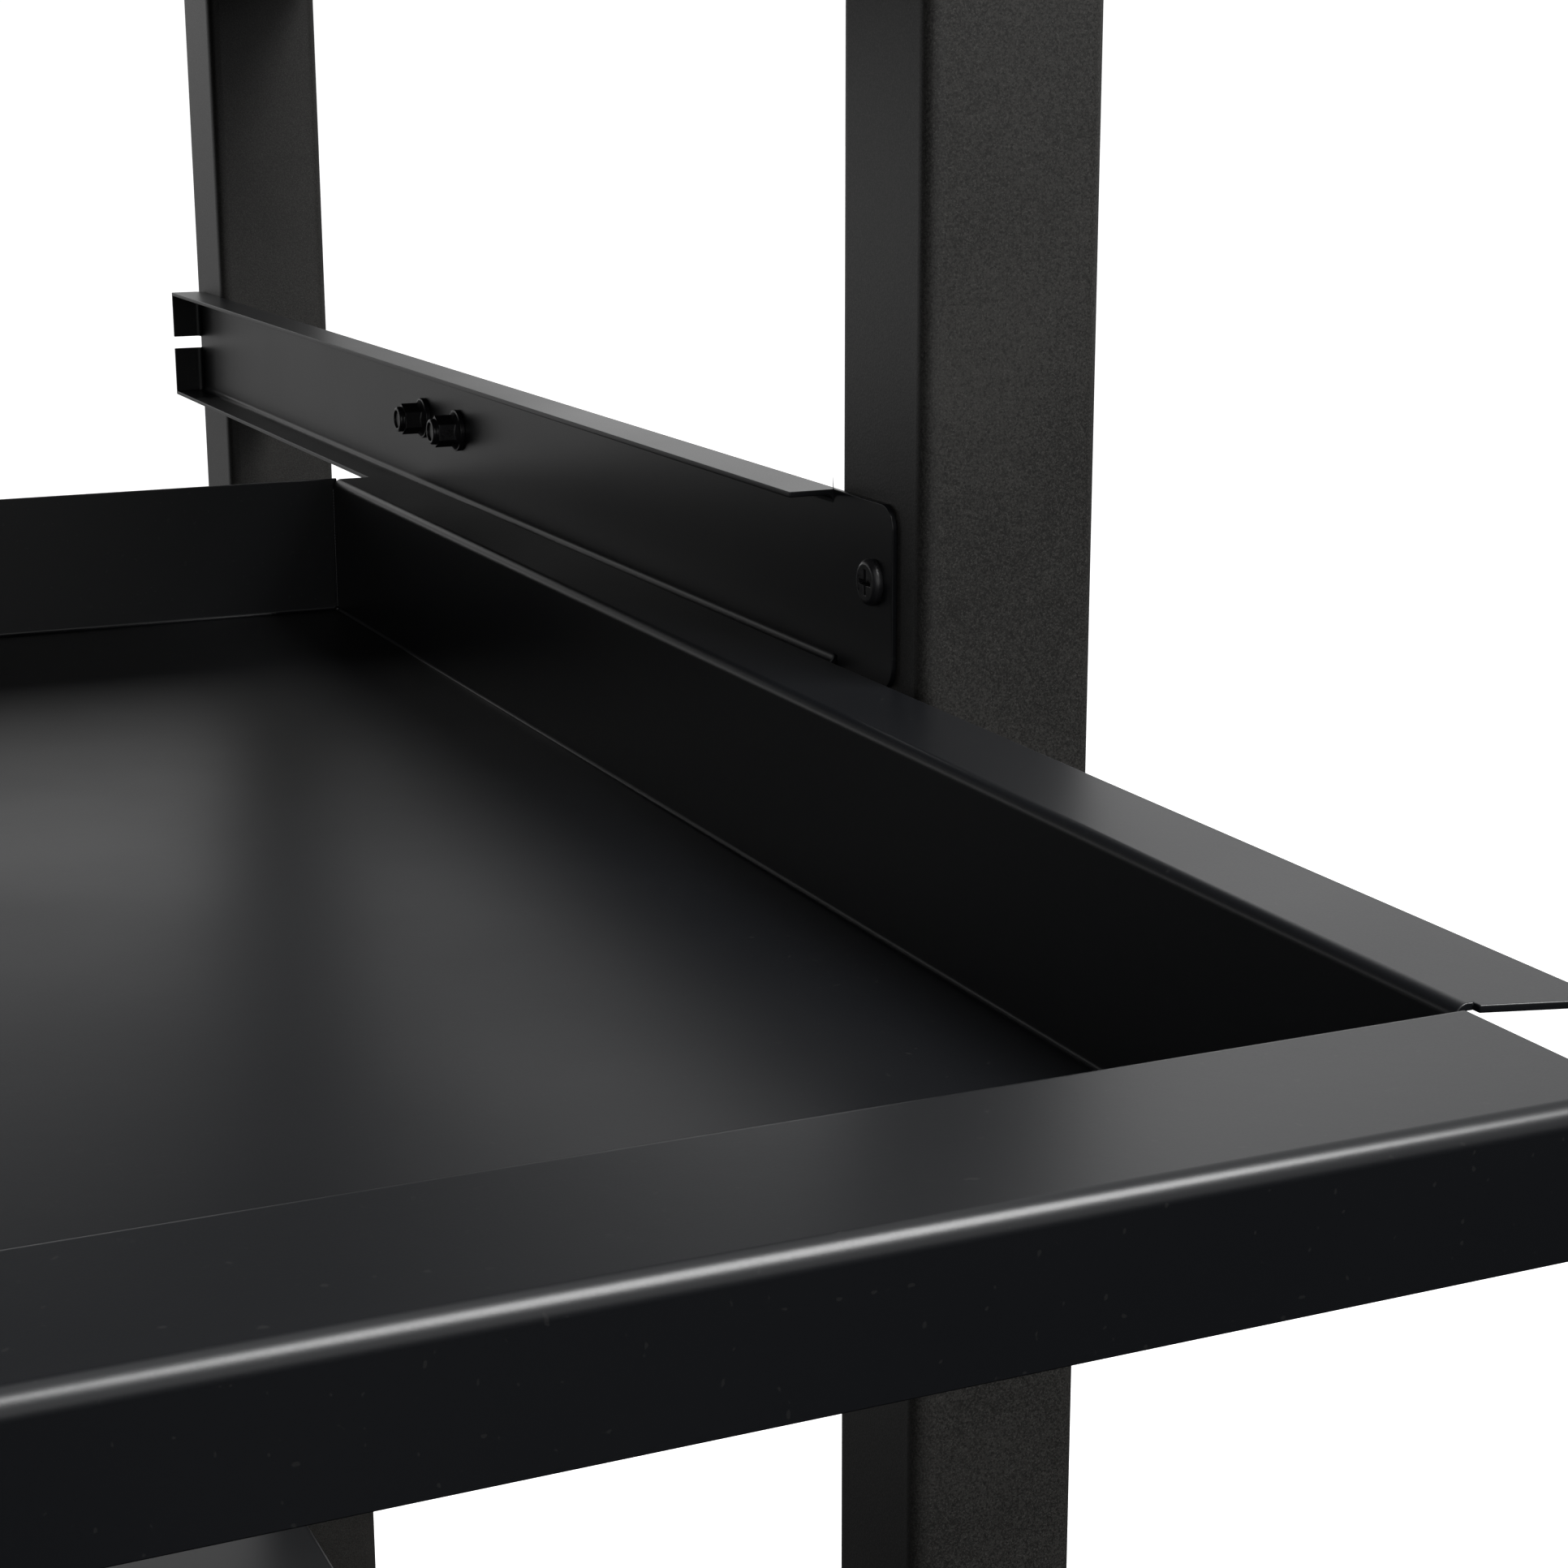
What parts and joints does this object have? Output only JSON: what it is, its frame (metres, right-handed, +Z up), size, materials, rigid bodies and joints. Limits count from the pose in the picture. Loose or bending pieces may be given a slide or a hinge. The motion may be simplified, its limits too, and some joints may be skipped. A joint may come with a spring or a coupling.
{
  "type": "computer desk with keyboard tray",
  "caption": "Steel-tube computer desk with a folded sheet-metal keyboard tray that slides in channel runners, a laminated top and a lower shelf.",
  "frame": {"origin": "on the floor, under the middle of the whole desk's box with the tray pulled out", "axes": "+Z up, +X to the user's right along the desk's width, -Y towards the user, the way the tray slides out"},
  "size_m": [0.918, 0.8706, 0.85],
  "materials": {
    "frame_powder_coat": "fine-textured black powder coat",
    "sheet_powder_coat": "smooth satin black powder coat",
    "desktop_laminate": "black-stained wood-grain laminate on particle board",
    "desktop_edge": "black edge band",
    "foot_plastic": "moulded black plastic",
    "black_fasteners": "black zinc",
    "zinc_inserts": "zinc plated"
  },
  "bodies": {
    "frame": {"leg_front_left": "frame_powder_coat", "leg_front_right": "frame_powder_coat", "leg_rear_left": "frame_powder_coat", "leg_rear_right": "frame_powder_coat", "foot_cap_front_left": "foot_plastic", "foot_cap_front_right": "foot_plastic", "foot_cap_rear_left": "foot_plastic", "foot_cap_rear_right": "foot_plastic", "top_rail_front": "frame_powder_coat", "top_rail_rear": "frame_powder_coat", "top_rail_left": "frame_powder_coat", "top_rail_right": "frame_powder_coat", "side_rail_left": "frame_powder_coat", "side_rail_right": "frame_powder_coat", "runner_left": "sheet_powder_coat", "runner_right": "sheet_powder_coat", "lower_shelf": "sheet_powder_coat", "desktop_board": "desktop_laminate", "desktop_edge_band": "desktop_edge", "desktop_brackets": "sheet_powder_coat", "runner_screws": "black_fasteners", "runner_bolts": "black_fasteners", "runner_lock_nuts": "black_fasteners", "shelf_screws": "black_fasteners", "desktop_board_screws": "black_fasteners", "desktop_rail_screws": "black_fasteners", "runner_rivet_nuts": "zinc_inserts", "shelf_rivet_nuts": "zinc_inserts"},
    "tray": {"keyboard_tray": "sheet_powder_coat"}
  },
  "joints": [
    {"name": "keyboard_slide", "type": "slide", "parent": "frame", "child": "tray", "axis": [0, -1, 0], "range_m": [-0.26, 0.1]}
  ]
}
